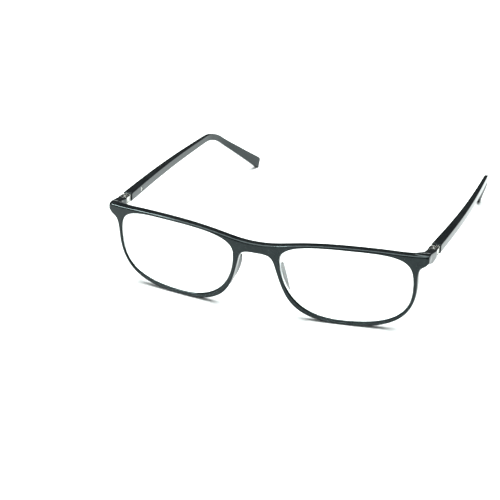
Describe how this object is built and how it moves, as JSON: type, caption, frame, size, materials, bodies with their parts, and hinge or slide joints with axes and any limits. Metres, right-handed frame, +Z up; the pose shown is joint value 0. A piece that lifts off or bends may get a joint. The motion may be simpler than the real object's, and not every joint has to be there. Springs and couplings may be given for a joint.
{
  "type": "folding reading glasses",
  "caption": "Full-rim folding reading glasses: slim black front with moulded nose pads, clear lenses, metal spring hinges and slim temples with dropped ear pieces.",
  "frame": {"origin": "middle of the bounding box on the surface that the glasses stand on", "axes": "+Z up, -Y the way the lenses face, +Y along the open temples, +X the wearer's left; mirror-symmetric about X = 0"},
  "size_m": [0.1398, 0.1556, 0.0361],
  "materials": {
    "black_plastic": "polished black injection moulding",
    "clear_lens": "clear acrylic, polished",
    "hinge_metal": "nickel silver, satin",
    "pin_metal": "nickel silver, turned",
    "screw_metal": "plated steel, bright",
    "spring_wire": "drawn spring wire"
  },
  "bodies": {
    "front": {"front_frame": "black_plastic", "lens_left": "clear_lens", "lens_right": "clear_lens", "hinge_leaf_left": "hinge_metal", "hinge_leaf_right": "hinge_metal", "leaf_rivet_left": "pin_metal", "leaf_rivet_right": "pin_metal", "hinge_screw_left": "screw_metal", "hinge_screw_right": "screw_metal"},
    "left_slider": {"hinge_tongue_left": "hinge_metal", "spring_retainer_left": "pin_metal", "hinge_spring_left": "spring_wire"},
    "left_arm": {"temple_left": "black_plastic", "spring_housing_left": "hinge_metal", "housing_pin_left": "pin_metal"},
    "right_slider": {"hinge_tongue_right": "hinge_metal", "spring_retainer_right": "pin_metal", "hinge_spring_right": "spring_wire"},
    "right_arm": {"temple_right": "black_plastic", "spring_housing_right": "hinge_metal", "housing_pin_right": "pin_metal"}
  },
  "joints": [
    {"name": "left_fold", "type": "hinge", "parent": "front", "child": "left_slider", "pos_m": [0.0669, -0.05599, 0.03176], "axis": [0, 0.0514, 0.9987], "range_deg": [-12, 88]},
    {"name": "left_spring_travel", "type": "slide", "parent": "left_slider", "child": "left_arm", "axis": [0, 0.9987, -0.0514], "range_m": [0, 0.0008], "stiffness_N_per_m": 400, "springref_m": -0.001, "deforming": ["hinge_spring_left"]},
    {"name": "right_fold", "type": "hinge", "parent": "front", "child": "right_slider", "pos_m": [-0.0669, -0.05599, 0.03176], "axis": [0, -0.0514, -0.9987], "range_deg": [-12, 80]},
    {"name": "right_spring_travel", "type": "slide", "parent": "right_slider", "child": "right_arm", "axis": [0, 0.9987, -0.0514], "range_m": [0, 0.0008], "stiffness_N_per_m": 400, "springref_m": -0.001, "deforming": ["hinge_spring_right"]}
  ]
}
